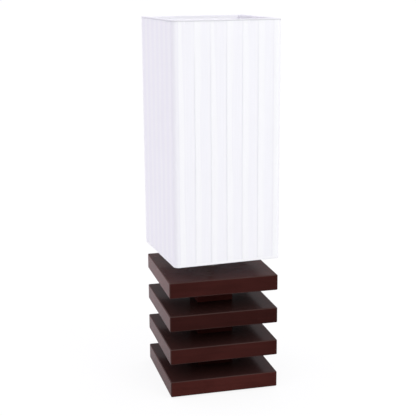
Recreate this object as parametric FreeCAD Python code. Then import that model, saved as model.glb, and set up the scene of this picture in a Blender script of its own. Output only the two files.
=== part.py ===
import FreeCAD, Part
import math
import os
from FreeCAD import Vector

# Column table lamp: four square wooden slabs stacked on smaller spacer blocks along a
# threaded pipe, a lampholder with a turn switch, a tubular bulb and a tall square pleated
# shade that is clamped to the lampholder by a ring. Millimetres, Z up, front towards -Y,
# origin on the table under the centre of the base.

# Wooden stack
slab_width = 150.0
slab_height = 21.75
slab_edge_radius = 1.6
spacer_width = 50.0
spacer_height = 24.85
spacer_edge_radius = 1.0
slab_names = ("base_slab", "second_slab", "third_slab", "top_slab")
spacer_names = ("lower_spacer", "middle_spacer", "upper_spacer")

# Underside of the base
foot_diameter = 14.0
foot_height = 2.0
foot_edge_slope = 0.6
foot_inset = 17.0
recess_diameter = 46.0
recess_depth = 16.0
cover_diameter = 62.0
cover_thickness = 1.5
cover_clearance = 0.3

# Cord outlet at the back of the base
cord_channel_diameter = 8.0
cord_channel_height = 8.0
bushing_bore = 7.0
bushing_wall = 1.5
bushing_length = 12.0
bushing_flange_width = 2.0
bushing_flange_thickness = 1.5
bushing_clearance = 0.1

# Threaded pipe with its washers and nuts
pipe_diameter = 10.0
pipe_bore = 7.5
pipe_clearance = 0.3
thread_clearance = 0.05
pipe_end_stub = 0.9
bottom_washer_diameter = 32.0
bottom_washer_thickness = 1.6
top_washer_diameter = 22.0
top_washer_thickness = 1.2
nut_across_flats = 14.0
nut_thickness = 3.5
nut_chamfer = 0.8

# Shade, outside over the pleat edges
shade_width = 148.5
shade_height = 319.0
shade_corner_radius = 7.1
shade_gap = 21.45
shade_turn = 4.4
pleat_count = 27
pleat_depth = 1.2
pleat_lip = 0.7
pleat_first_edge = 6.0
fabric_thickness = 0.5
liner_thickness = 0.8
binding_height = 3.6
binding_thickness = 0.4

# Wire frames and fitter of the shade
frame_wire = 3.0
frame_clearance = 0.1
arm_wire = 2.6
fitter_recess = 50.0
fitter_thickness = 2.0
fitter_overhang = 3.7
fitter_clearance = 0.5
arm_drop = 0.2
arm_bend_radius = 8.0

# Lampholder: the seat is the shoulder that carries the shade's fitter
holder_below_seat = 38.0
holder_above_seat = 26.0
cap_height = 20.0
cap_hub_diameter = 18.0
cap_hub_height = 8.0
cap_dome_height = 12.0
cap_dome_steps = 5
cap_rim_height = 2.0
collar_diameter = 38.0
collar_wall = 3.0
seat_flange_width = 3.8
seat_flange_thickness = 3.0
skirt_diameter = 39.4
skirt_lip = 1.5
insulator_flange_diameter = 34.0
insulator_flange_height = 5.0
insulator_body_diameter = 30.4
insulator_neck_diameter = 22.0
insulator_neck_height = 7.0
insulator_height = 20.0
holder_clearance = 0.3

# Screw shell, centre contact and terminals inside the lampholder
screw_shell_wall = 0.4
screw_shell_clearance = 0.3
screw_shell_height = 22.0
screw_shell_eye = 12.0
contact_height = 3.0
contact_thickness = 0.6
contact_width = 5.0
contact_length = 8.0
terminal_head_diameter = 6.0
terminal_head_height = 1.8
terminal_shank_diameter = 3.0
terminal_shank_length = 5.0

# Turn switch in the collar
switch_height_below_seat = 8.0
switch_shaft_diameter = 4.0
switch_shaft_depth = 9.0
switch_shaft_reach = 17.0
switch_running_clearance = 0.05
switch_hole_clearance = 1.0
knob_hub_diameter = 9.0
knob_hub_length = 6.0
knob_width = 12.0
knob_length = 12.0
knob_thickness = 4.5
knob_edge_radius = 1.0
knob_gap = 6.0

# Shade ring
ring_running_clearance = 0.1
ring_wall = 6.0
ring_height = 10.0
ring_edge_radius = 1.0
ring_grip_count = 12
ring_grip_radius = 3.0
ring_grip_depth = 0.8

# Bulb
bulb_tip_diameter = 9.0
bulb_tip_height = 1.6
bulb_insulator_height = 5.0
bulb_thread_diameter = 26.2
bulb_thread_depth = 0.7
bulb_thread_pitch = 3.6
bulb_thread_turns = 5
bulb_cap_wall = 1.0
bulb_collar_height = 3.4
bulb_neck_depth = 5.0
bulb_neck_clearance = 0.1
bulb_shoulder_height = 7.0
bulb_glass_diameter = 30.0
bulb_glass_length = 104.0
bulb_glass_wall = 0.9

# Heights and radii that follow from the sizes above
stack_pitch = slab_height + spacer_height
stack_top = foot_height + len(slab_names) * slab_height + len(spacer_names) * spacer_height
recess_ceiling = foot_height + recess_depth
cord_axis_height = foot_height + cord_channel_height
shade_bottom = stack_top + shade_gap
shade_top = shade_bottom + shade_height
seat_height = shade_bottom + fitter_recess
fitter_top = seat_height + fitter_thickness
holder_bottom = seat_height - holder_below_seat
holder_top = seat_height + holder_above_seat
collar_bottom = holder_bottom + cap_height
insulator_top = collar_bottom + insulator_height
bulb_bottom = insulator_top + contact_height
pipe_radius = pipe_diameter / 2
pipe_bottom = recess_ceiling - bottom_washer_thickness - nut_thickness - pipe_end_stub
pipe_top = holder_bottom + cap_hub_height - pipe_end_stub
skirt_radius = skirt_diameter / 2
flange_radius = skirt_radius + seat_flange_width
switch_height = seat_height - switch_height_below_seat
screw_shell_inner = bulb_thread_diameter / 2 + screw_shell_clearance
crest_half = shade_width / 2
valley_half = crest_half - pleat_depth
liner_outer_half = valley_half - fabric_thickness
liner_inner_half = liner_outer_half - liner_thickness
wire_half = liner_inner_half - frame_wire / 2 - frame_clearance
up = Vector(0, 0, 1)


def revolve(outline):
    """Solid turned about Z from (radius, height) points; a point (r, z, r_mid, z_mid) ends an arc."""
    edges = []
    corners = [Vector(point[0], 0, point[1]) for point in outline]
    for index, point in enumerate(outline):
        start = corners[index - 1]
        end = corners[index]
        if len(point) == 4:
            edges.append(Part.Arc(start, Vector(point[2], 0, point[3]), end).toShape())
        else:
            edges.append(Part.LineSegment(start, end).toShape())
    edges.append(edges.pop(0))
    return Part.Face(Part.Wire(edges)).revolve(Vector(0, 0, 0), up, 360)


def tube(outer_radius, inner_radius, bottom, height):
    outer = Part.makeCylinder(outer_radius, height, Vector(0, 0, bottom))
    return outer.cut(Part.makeCylinder(inner_radius, height, Vector(0, 0, bottom)))


def drill(shape, radius, bottom, top):
    """Cuts a hole along Z, running past both faces."""
    spare = 1.0
    return shape.cut(Part.makeCylinder(radius, top - bottom + 2 * spare, Vector(0, 0, bottom - spare)))


def rounded_square(half, radius, height):
    """Closed wire of a square with round corners, centred on Z at the given height."""
    edges = []
    flat = half - radius
    for quarter in range(4):
        turn = math.radians(90 * quarter)
        next_turn = math.radians(90 * (quarter + 1))
        ahead = Vector(math.cos(turn), math.sin(turn), 0)
        left = Vector(-math.sin(turn), math.cos(turn), 0)
        start = ahead * half - left * flat
        end = ahead * half + left * flat
        centre = ahead * flat + left * flat
        middle = centre + (ahead + left) * (radius / math.sqrt(2))
        beyond = Vector(math.cos(next_turn), math.sin(next_turn), 0) * half + ahead * flat
        lift = up * height
        edges.append(Part.LineSegment(start + lift, end + lift).toShape())
        edges.append(Part.Arc(end + lift, middle + lift, beyond + lift).toShape())
    return Part.Wire(edges)


def square_prism(half, radius, bottom, height):
    return Part.Face(rounded_square(half, radius, bottom)).extrude(up * height)


def corner_radius_at(half):
    """Corner radius of a wall line that runs parallel to the outside of the shade."""
    return shade_corner_radius - (crest_half - half)


def square_tube(outer_half, inner_half, bottom, height):
    outer = square_prism(outer_half, corner_radius_at(outer_half), bottom, height)
    return outer.cut(square_prism(inner_half, corner_radius_at(inner_half), bottom, height))


def is_upright(edge):
    return abs(edge.Vertexes[0].Z - edge.Vertexes[-1].Z) > 0.01


def wood_block(width, height, bottom, edges_rounded, radius):
    """Square block on the stack's axis with rounded edges and its pipe hole."""
    block = Part.makeBox(width, width, height, Vector(-width / 2, -width / 2, bottom))
    block = block.makeFillet(radius, [edge for edge in block.Edges if edges_rounded(edge)])
    return drill(block, pipe_radius + pipe_clearance, bottom, bottom + height)


def slab(index):
    bottom = foot_height + index * stack_pitch
    return wood_block(slab_width, slab_height, bottom, lambda edge: True, slab_edge_radius)


def spacer(index):
    bottom = foot_height + slab_height + index * stack_pitch
    return wood_block(spacer_width, spacer_height, bottom, is_upright, spacer_edge_radius)


def base_slab():
    """Lowest slab, with the recess for washer and nut, the cover's seat and the cord's way out."""
    body = slab(0)
    body = body.cut(Part.makeCylinder(recess_diameter / 2, recess_depth, Vector(0, 0, foot_height)))
    body = body.cut(Part.makeCylinder(cover_diameter / 2, cover_thickness, Vector(0, 0, foot_height)))
    axis_start = Vector(0, 0, cord_axis_height)
    channel = Part.makeCylinder(cord_channel_diameter / 2, slab_width, axis_start, Vector(0, 1, 0))
    seat_start = Vector(0, slab_width / 2 - bushing_length, cord_axis_height)
    seat_radius = bushing_bore / 2 + bushing_wall + bushing_clearance
    seat = Part.makeCylinder(seat_radius, bushing_length + 1, seat_start, Vector(0, 1, 0))
    return body.cut(channel).cut(seat)


def cord_bushing():
    """Plastic sleeve with a flange that lines the hole where a cord leaves the base."""
    bore = bushing_bore / 2
    sleeve = bore + bushing_wall
    flange = sleeve + bushing_flange_width
    rim = bushing_flange_thickness
    soft = rim / 3
    outline = [(bore, -bushing_length), (sleeve, -bushing_length), (sleeve, 0), (flange, 0),
               (flange, rim - soft), (flange - soft, rim), (bore + soft, rim), (bore, rim - soft)]
    bushing = revolve(outline)
    bushing.rotate(Vector(0, 0, 0), Vector(1, 0, 0), -90)
    bushing.translate(Vector(0, slab_width / 2, cord_axis_height))
    return bushing


def rubber_feet():
    reach = slab_width / 2 - foot_inset
    pads = []
    radius = foot_diameter / 2
    for x, y in ((reach, reach), (-reach, reach), (-reach, -reach), (reach, -reach)):
        pad = revolve([(0, 0), (radius - foot_edge_slope, 0), (radius, foot_edge_slope),
                       (radius, foot_height), (0, foot_height)])
        pad.translate(Vector(x, y, 0))
        pads.append(pad)
    return Part.makeCompound(pads)


def base_cover():
    radius = cover_diameter / 2 - cover_clearance
    return Part.makeCylinder(radius, cover_thickness, Vector(0, 0, foot_height))


def washer(diameter, thickness, bottom):
    return tube(diameter / 2, pipe_radius + pipe_clearance, bottom, thickness)


def hex_nut(bottom):
    """Thin six-sided nut on the pipe with turned-off corners."""
    corner = nut_across_flats / math.sqrt(3)
    points = [Vector(corner * math.cos(math.radians(60 * k)), corner * math.sin(math.radians(60 * k)), bottom)
              for k in range(7)]
    prism = Part.Face(Part.makePolygon(points)).extrude(up * nut_thickness)
    top = bottom + nut_thickness
    turned = revolve([(0, bottom), (corner - nut_chamfer, bottom), (corner, bottom + nut_chamfer / 2),
                      (corner, top - nut_chamfer / 2), (corner - nut_chamfer, top), (0, top)])
    return drill(prism.common(turned), pipe_radius + thread_clearance, bottom, top)


def threaded_pipe():
    return tube(pipe_radius, pipe_bore / 2, pipe_bottom, pipe_top - pipe_bottom)


def lampholder_cap():
    """Moulded lower half: a threaded hub that opens in a dome to the collar's width."""
    hub = cap_hub_diameter / 2
    outer = collar_diameter / 2
    inner = outer - collar_wall
    bore = pipe_radius + thread_clearance
    dome_top = holder_bottom + cap_dome_height
    hub_top = holder_bottom + cap_hub_height
    floor_edge = hub + (inner - hub) / 3
    outline = [(bore, holder_bottom), (hub, holder_bottom), (hub, holder_bottom + cap_rim_height)]
    for step in range(1, cap_dome_steps + 1):
        angle = math.pi / 2 * step / cap_dome_steps
        outline.append((hub + (outer - hub) * math.sin(angle),
                        dome_top - (cap_dome_height - cap_rim_height) * math.cos(angle)))
    outline += [(outer, collar_bottom), (inner, collar_bottom), (inner, dome_top),
                (floor_edge, hub_top), (bore, hub_top)]
    return revolve(outline)


def lampholder_shell():
    """Moulded upper half: collar, shoulder for the shade and skirt for the shade ring."""
    outer = collar_diameter / 2
    flange = flange_radius
    wide = insulator_flange_diameter / 2 + holder_clearance
    narrow = insulator_body_diameter / 2 + holder_clearance
    mouth = screw_shell_inner + screw_shell_wall + 2 * holder_clearance
    ledge = collar_bottom + insulator_flange_height
    soft = seat_flange_thickness / 4
    shell = revolve([(wide, collar_bottom), (outer, collar_bottom),
                     (outer, seat_height - seat_flange_thickness),
                     (flange - soft, seat_height - seat_flange_thickness),
                     (flange, seat_height - seat_flange_thickness + soft), (flange, seat_height),
                     (skirt_radius, seat_height), (skirt_radius, holder_top - soft),
                     (skirt_radius - soft, holder_top), (mouth + soft, holder_top),
                     (mouth, holder_top - soft), (mouth, holder_top - skirt_lip),
                     (narrow, holder_top - skirt_lip), (narrow, ledge), (wide, ledge)])
    hole = Part.makeCylinder(switch_shaft_diameter / 2 + switch_hole_clearance, outer,
                             Vector(switch_shaft_depth, 0, switch_height), Vector(1, 0, 0))
    return shell.cut(hole)


def lampholder_insulator():
    """Inner block that carries the screw shell, the contact, the terminals and the switch shaft."""
    neck = insulator_neck_diameter / 2
    flange = insulator_flange_diameter / 2
    body = insulator_body_diameter / 2
    ledge = collar_bottom + insulator_flange_height
    neck_bottom = collar_bottom - insulator_neck_height
    block = revolve([(0, neck_bottom), (neck, neck_bottom), (neck, collar_bottom),
                     (flange, collar_bottom), (flange, ledge), (body, ledge),
                     (body, insulator_top), (0, insulator_top)])
    shaft_bore = Part.makeCylinder(switch_shaft_diameter / 2 + switch_running_clearance, body,
                                   Vector(body - switch_shaft_depth, 0, switch_height), Vector(1, 0, 0))
    block = block.cut(shaft_bore)
    for side in (1, -1):
        start = Vector(0, side * (neck - terminal_shank_length), terminal_height())
        block = block.cut(Part.makeCylinder(terminal_shank_diameter / 2, terminal_shank_length + 1,
                                            start, Vector(0, side, 0)))
    return block


def terminal_height():
    return collar_bottom - insulator_neck_height / 2


def terminal_screws():
    """Two slotted screws in the insulator's neck, one for each wire."""
    neck = insulator_neck_diameter / 2
    head = terminal_head_diameter / 2
    slot = terminal_head_height / 3
    screws = []
    for side in (1, -1):
        out = Vector(0, side, 0)
        shank_start = Vector(0, side * (neck - terminal_shank_length), terminal_height())
        head_start = Vector(0, side * neck, terminal_height())
        shank = Part.makeCylinder(terminal_shank_diameter / 2, terminal_shank_length, shank_start, out)
        screw = shank.fuse(Part.makeCylinder(head, terminal_head_height, head_start, out))
        slot_box = Part.makeBox(2 * head, 2 * slot, slot)
        slot_box.translate(Vector(-head, side * (neck + terminal_head_height) - slot,
                                  terminal_height() - slot / 2))
        screws.append(screw.cut(slot_box).removeSplitter())
    return Part.makeCompound(screws)


def screw_shell():
    """Thin metal cup that takes the bulb's thread, with an eye for the centre contact."""
    inner = screw_shell_inner
    outer = inner + screw_shell_wall
    floor = insulator_top + screw_shell_wall
    rim = insulator_top + screw_shell_height
    eye = screw_shell_eye / 2
    return revolve([(eye, insulator_top), (outer, insulator_top), (outer, rim), (inner, rim),
                    (inner, floor), (eye, floor)])


def center_contact():
    """Springy brass strip folded back over itself, so that its pad meets the bulb's tip."""
    half = contact_length / 2
    low = insulator_top
    high = insulator_top + contact_height
    thick = contact_thickness
    middle = (low + high) / 2
    bend = contact_height / 2
    outer_start = Vector(half - bend, 0, low)
    outer_end = Vector(half - bend, 0, high)
    inner_start = Vector(half - bend, 0, high - thick)
    inner_end = Vector(half - bend, 0, low + thick)
    edges = [Part.LineSegment(Vector(-half, 0, low), outer_start).toShape(),
             Part.Arc(outer_start, Vector(half, 0, middle), outer_end).toShape(),
             Part.LineSegment(outer_end, Vector(-half, 0, high)).toShape(),
             Part.LineSegment(Vector(-half, 0, high), Vector(-half, 0, high - thick)).toShape(),
             Part.LineSegment(Vector(-half, 0, high - thick), inner_start).toShape(),
             Part.Arc(inner_start, Vector(half - thick, 0, middle), inner_end).toShape(),
             Part.LineSegment(inner_end, Vector(-half, 0, low + thick)).toShape(),
             Part.LineSegment(Vector(-half, 0, low + thick), Vector(-half, 0, low)).toShape()]
    strip = Part.Face(Part.Wire(edges)).extrude(Vector(0, contact_width, 0))
    strip.translate(Vector(0, -contact_width / 2, 0))
    return strip


def switch_shaft():
    start = Vector(insulator_body_diameter / 2 - switch_shaft_depth, 0, switch_height)
    return Part.makeCylinder(switch_shaft_diameter / 2, switch_shaft_depth + switch_shaft_reach,
                             start, Vector(1, 0, 0))


def switch_knob():
    """Round hub that flattens into a paddle for two fingers, bored for the shaft."""
    hub_start = collar_diameter / 2 + knob_gap
    paddle_start = hub_start + knob_hub_length
    hub = Part.makeCylinder(knob_hub_diameter / 2, knob_hub_length + knob_edge_radius,
                            Vector(hub_start, 0, switch_height), Vector(1, 0, 0))
    paddle = Part.makeBox(knob_length, knob_thickness, knob_width,
                          Vector(paddle_start, -knob_thickness / 2, switch_height - knob_width / 2))
    paddle = paddle.makeFillet(knob_edge_radius, paddle.Edges)
    bore_start = insulator_body_diameter / 2
    bore = Part.makeCylinder(switch_shaft_diameter / 2 + switch_running_clearance, switch_shaft_reach,
                             Vector(bore_start, 0, switch_height), Vector(1, 0, 0))
    return hub.fuse(paddle).removeSplitter().cut(bore)


def shade_ring():
    """Threaded ring with finger grips that clamps the shade's fitter on the shoulder."""
    inner = skirt_radius + ring_running_clearance
    outer = inner + ring_wall
    top = fitter_top + ring_height
    ring = revolve([(inner, fitter_top), (outer, fitter_top), (outer, top - ring_edge_radius),
                    (outer - ring_edge_radius, top), (inner, top)])
    for k in range(ring_grip_count):
        angle = math.radians(360 / ring_grip_count * k)
        reach = outer + ring_grip_radius - ring_grip_depth
        centre = Vector(reach * math.cos(angle), reach * math.sin(angle), fitter_top)
        ring = ring.cut(Part.makeCylinder(ring_grip_radius, ring_height, centre))
    return ring


def outline_point(distance, offset):
    """Point at a run along the shade's outer line, moved in by offset, and the run that follows."""
    flat = 2 * (crest_half - shade_corner_radius)
    corner = shade_corner_radius * math.pi / 2
    quarter, rest = divmod(distance, flat + corner)
    if rest <= flat:
        x = crest_half - offset
        y = rest - flat / 2
    else:
        angle = (rest - flat) / shade_corner_radius
        x = flat / 2 + (shade_corner_radius - offset) * math.cos(angle)
        y = flat / 2 + (shade_corner_radius - offset) * math.sin(angle)
    turn = math.radians(90 * quarter)
    return Vector(x * math.cos(turn) - y * math.sin(turn), x * math.sin(turn) + y * math.cos(turn), 0)


def outline_length():
    return 8 * (crest_half - shade_corner_radius) + 2 * math.pi * shade_corner_radius


def pleat_outline():
    """Folded outside of the cover: each pleat stands proud at its fold and sinks to the next one."""
    flat = 2 * (crest_half - shade_corner_radius)
    corner = shade_corner_radius * math.pi / 2
    total = outline_length()
    pitch = total / pleat_count
    corner_steps = 4
    stops = []
    for quarter in range(4):
        begin = quarter * (flat + corner) + flat
        stops += [begin + corner * step / corner_steps for step in range(corner_steps + 1)]
    places = []
    for k in range(pleat_count):
        start = pleat_first_edge + k * pitch
        places.append((start, pleat_depth))
        places.append((start + pleat_lip, 0))
        for stop in stops:
            run = (stop - start) % total
            if pleat_lip * 1.5 < run < pitch - pleat_lip / 2:
                places.append((start + run, pleat_depth * (run - pleat_lip) / (pitch - pleat_lip)))
    places.sort()
    return [outline_point(run % total, offset) for run, offset in places]


def shade_cover():
    """Knife-pleated fabric tube round the liner."""
    bottom = shade_bottom + binding_thickness
    height = shade_height - 2 * binding_thickness
    points = [point + up * bottom for point in pleat_outline()]
    folded = Part.Face(Part.makePolygon(points + [points[0]])).extrude(up * height)
    inside = square_prism(liner_outer_half, corner_radius_at(liner_outer_half), bottom, height)
    return folded.cut(inside)


def shade_liner():
    return square_tube(liner_outer_half, liner_inner_half, shade_bottom + binding_thickness,
                       shade_height - 2 * binding_thickness)


def binding(edge, inward):
    """Fabric tape folded over one end of the shade, round cover, liner and frame wire."""
    outer_half = crest_half + binding_thickness
    inner_half = liner_inner_half - frame_wire - 2 * frame_clearance - binding_thickness
    bottom = min(edge, edge + inward * binding_height)
    tape = square_tube(outer_half, inner_half, bottom, binding_height)
    room_bottom = bottom + binding_thickness * (1 if inward > 0 else 0)
    room = square_tube(crest_half, inner_half + binding_thickness, room_bottom,
                       binding_height - binding_thickness)
    return tape.cut(room)


def bent_wire(place, direction, moves, diameter):
    """Round wire that goes straight by (length,) and turns by (radius, degrees, axis)."""
    stretches = []
    for move in moves:
        section = Part.Face(Part.Wire(Part.makeCircle(diameter / 2, place, direction)))
        if len(move) == 1:
            stretches.append(section.extrude(direction * move[0]))
            place = place + direction * move[0]
        else:
            radius, degrees, axis = move
            centre = place + axis.cross(direction) * radius
            stretches.append(section.revolve(centre, axis, degrees))
            turn = FreeCAD.Rotation(axis, degrees)
            place = centre + turn.multVec(place - centre)
            direction = turn.multVec(direction)
    return stretches[0].multiFuse(stretches[1:]).removeSplitter()


def wire_loop(height):
    """Frame wire bent to a square with round corners."""
    radius = corner_radius_at(wire_half)
    flat = wire_half - radius
    return bent_wire(Vector(wire_half, -flat, height), Vector(0, 1, 0),
                     [(2 * flat,), (radius, 90, up)] * 4, frame_wire)


def fitter_arm(angle, loop_height):
    """Wire from under the fitter's rim to the wall and down to the middle of a side of the loop."""
    arm_height = fitter_top - arm_drop - arm_wire / 2
    start = flange_radius + holder_clearance
    arm = bent_wire(Vector(start, 0, arm_height), Vector(1, 0, 0),
                    [(wire_half - arm_bend_radius - start,), (arm_bend_radius, 90, Vector(0, 1, 0)),
                     (arm_height - arm_bend_radius - loop_height,)], arm_wire)
    arm.rotate(Vector(0, 0, 0), up, angle)
    return arm


def shade_fitter():
    """Lower wire frame: the ring that sits on the lampholder, its arms and the square loop."""
    ring = tube(flange_radius + fitter_overhang, skirt_radius + fitter_clearance, seat_height,
                fitter_thickness)
    loop_height = shade_bottom + binding_thickness + frame_wire / 2
    frame = wire_loop(loop_height)
    for side in range(4):
        frame = frame.fuse(fitter_arm(90 * side, loop_height))
    return frame.fuse(ring).removeSplitter()


def shade_top_wire():
    return wire_loop(shade_top - binding_thickness - frame_wire / 2)


def bulb_tip():
    radius = bulb_tip_diameter / 2
    top = bulb_bottom + bulb_tip_height
    return revolve([(0, bulb_bottom), (radius * 0.7, bulb_bottom), (radius, top - bulb_tip_height / 2),
                    (radius, top), (0, top)])


def bulb_insulator():
    """Glass cone between the tip and the threaded cap."""
    bottom = bulb_bottom + bulb_tip_height
    top = bottom + bulb_insulator_height
    wide = bulb_thread_diameter / 2 - bulb_thread_depth
    return revolve([(0, bottom), (bulb_tip_diameter / 2, bottom), (wide, top - 1), (wide, top), (0, top)])


def bulb_cap():
    """Threaded metal cap, its thread drawn as plain ridges, with a collar for the glass."""
    bottom = bulb_bottom + bulb_tip_height + bulb_insulator_height
    crest = bulb_thread_diameter / 2
    root = crest - bulb_thread_depth
    inner = root - bulb_cap_wall
    thread_top = bottom + bulb_thread_turns * bulb_thread_pitch
    top = thread_top + bulb_collar_height
    outline = [(inner, bottom), (root, bottom)]
    for k in range(bulb_thread_turns):
        outline.append((crest, bottom + (k + 0.5) * bulb_thread_pitch))
        outline.append((root, bottom + (k + 1) * bulb_thread_pitch))
    outline += [(root, top), (inner, top)]
    return revolve(outline)


def bulb_glass():
    """Frosted tube with a round end, its neck cemented into the cap."""
    cap_bottom = bulb_bottom + bulb_tip_height + bulb_insulator_height
    cap_top = cap_bottom + bulb_thread_turns * bulb_thread_pitch + bulb_collar_height
    neck = bulb_thread_diameter / 2 - bulb_thread_depth - bulb_cap_wall - bulb_neck_clearance
    wide = bulb_glass_diameter / 2
    shoulder = cap_top + bulb_shoulder_height
    end = cap_top + bulb_glass_length
    round_start = end - wide
    low = cap_top - bulb_neck_depth
    wall = bulb_glass_wall
    slant = math.sqrt(0.5)
    inside = wide - wall
    blend_middle = (neck + wide) / 2
    blend_height = (cap_top + shoulder) / 2
    return revolve([(neck - wall, low), (neck, low), (neck, cap_top), (blend_middle, blend_height),
                    (wide, shoulder), (wide, round_start),
                    (0, end, wide * slant, round_start + wide * slant),
                    (0, end - wall),
                    (inside, round_start, inside * slant, round_start + inside * slant),
                    (inside, shoulder), (blend_middle - wall, blend_height + wall / 2),
                    (neck - wall, cap_top)])


def turned(shape):
    """The shade stands turned about the lamp's axis."""
    shape = shape.copy()
    shape.rotate(Vector(0, 0, 0), up, shade_turn)
    return shape


pieces = {
    "base_slab": base_slab(),
    "cord_bushing": cord_bushing(),
    "rubber_feet": rubber_feet(),
    "base_cover": base_cover(),
    "threaded_pipe": threaded_pipe(),
    "bottom_washer": washer(bottom_washer_diameter, bottom_washer_thickness,
                            recess_ceiling - bottom_washer_thickness),
    "bottom_nut": hex_nut(recess_ceiling - bottom_washer_thickness - nut_thickness),
    "top_washer": washer(top_washer_diameter, top_washer_thickness, stack_top),
    "top_nut": hex_nut(stack_top + top_washer_thickness),
    "holder_nut": hex_nut(holder_bottom - nut_thickness),
    "lampholder_cap": lampholder_cap(),
    "lampholder_shell": lampholder_shell(),
    "lampholder_insulator": lampholder_insulator(),
    "terminal_screws": terminal_screws(),
    "screw_shell": screw_shell(),
    "center_contact": center_contact(),
    "switch_shaft": switch_shaft(),
    "switch_knob": switch_knob(),
    "shade_ring": shade_ring(),
    "shade_fitter": turned(shade_fitter()),
    "shade_top_wire": turned(shade_top_wire()),
    "shade_liner": turned(shade_liner()),
    "shade_cover": turned(shade_cover()),
    "top_binding": turned(binding(shade_top, -1)),
    "bottom_binding": turned(binding(shade_bottom, 1)),
    "bulb_tip": bulb_tip(),
    "bulb_insulator": bulb_insulator(),
    "bulb_cap": bulb_cap(),
    "bulb_glass": bulb_glass(),
}
for index, name in enumerate(slab_names[1:], start=1):
    pieces[name] = slab(index)
for index, name in enumerate(spacer_names):
    pieces[name] = spacer(index)

os.makedirs("parts", exist_ok=True)
for name, shape in pieces.items():
    shape.exportStep("parts/" + name + ".step")
    print(name, "valid" if shape.isValid() else "not valid", round(shape.Volume, 1))
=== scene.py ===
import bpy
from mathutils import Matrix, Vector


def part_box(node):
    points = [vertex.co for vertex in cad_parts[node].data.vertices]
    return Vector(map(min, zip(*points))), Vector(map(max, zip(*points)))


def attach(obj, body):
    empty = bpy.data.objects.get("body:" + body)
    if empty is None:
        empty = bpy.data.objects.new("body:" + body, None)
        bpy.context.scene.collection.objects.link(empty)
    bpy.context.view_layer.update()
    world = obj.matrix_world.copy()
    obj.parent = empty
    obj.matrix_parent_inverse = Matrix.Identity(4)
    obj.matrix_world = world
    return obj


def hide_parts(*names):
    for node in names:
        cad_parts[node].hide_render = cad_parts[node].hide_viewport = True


bl_info = {
    "name": "Column Table Lamp",
    "version": (1, 0, 0),
    "blender": (4, 5, 0),
    "location": "3D View > Sidebar > Lamp",
    "description": "Dresses a column table lamp: lacquered slabs, pleated shade, lampholder and bulb",
    "category": "Object",
}

import math

import bmesh
import bpy
from bpy.props import FloatProperty, FloatVectorProperty, IntProperty, PointerProperty
from mathutils import Matrix, Vector, noise

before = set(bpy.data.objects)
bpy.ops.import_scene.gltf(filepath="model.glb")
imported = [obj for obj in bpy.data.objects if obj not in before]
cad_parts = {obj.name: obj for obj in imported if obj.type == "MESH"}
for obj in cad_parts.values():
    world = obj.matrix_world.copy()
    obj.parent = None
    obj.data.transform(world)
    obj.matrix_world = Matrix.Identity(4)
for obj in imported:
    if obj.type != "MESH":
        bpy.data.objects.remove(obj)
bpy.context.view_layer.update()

FULL_TURN = 2 * math.pi
QUARTER_TURN = math.pi / 2
WHITE = (1, 1, 1, 1)
SAME_PLACE = 0.000002


def length(name, default, description):
    """Setting in metres."""
    return FloatProperty(name=name, default=default, description=description, min=0, unit="LENGTH",
                         subtype="DISTANCE", precision=5)


def colour(name, default, description):
    """Setting that is a colour."""
    return FloatVectorProperty(name=name, default=default, description=description, size=3, min=0, max=1,
                               subtype="COLOR")


def point(name, default, description):
    """Setting that is a point."""
    return FloatVectorProperty(name=name, default=default, description=description, size=3, subtype="XYZ",
                               unit="LENGTH")


def degrees(name, default, description):
    """Setting in degrees, kept in radians."""
    return FloatProperty(name=name, default=math.radians(default), description=description,
                         subtype="ANGLE", unit="ROTATION")


def ratio(name, default, description, most=1):
    """Setting without a unit, from 0 to the given most."""
    return FloatProperty(name=name, default=default, description=description, min=0, max=most)


def stain_and_light_shares(name, default):
    """Three shares of the wood's colour, stain and painted light together: front and back, ends, and top and
    bottom.
    """
    return FloatVectorProperty(name=name, default=default, size=3, min=0, max=4,
                               description="Strength of the stain on front, ends and top")


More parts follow.
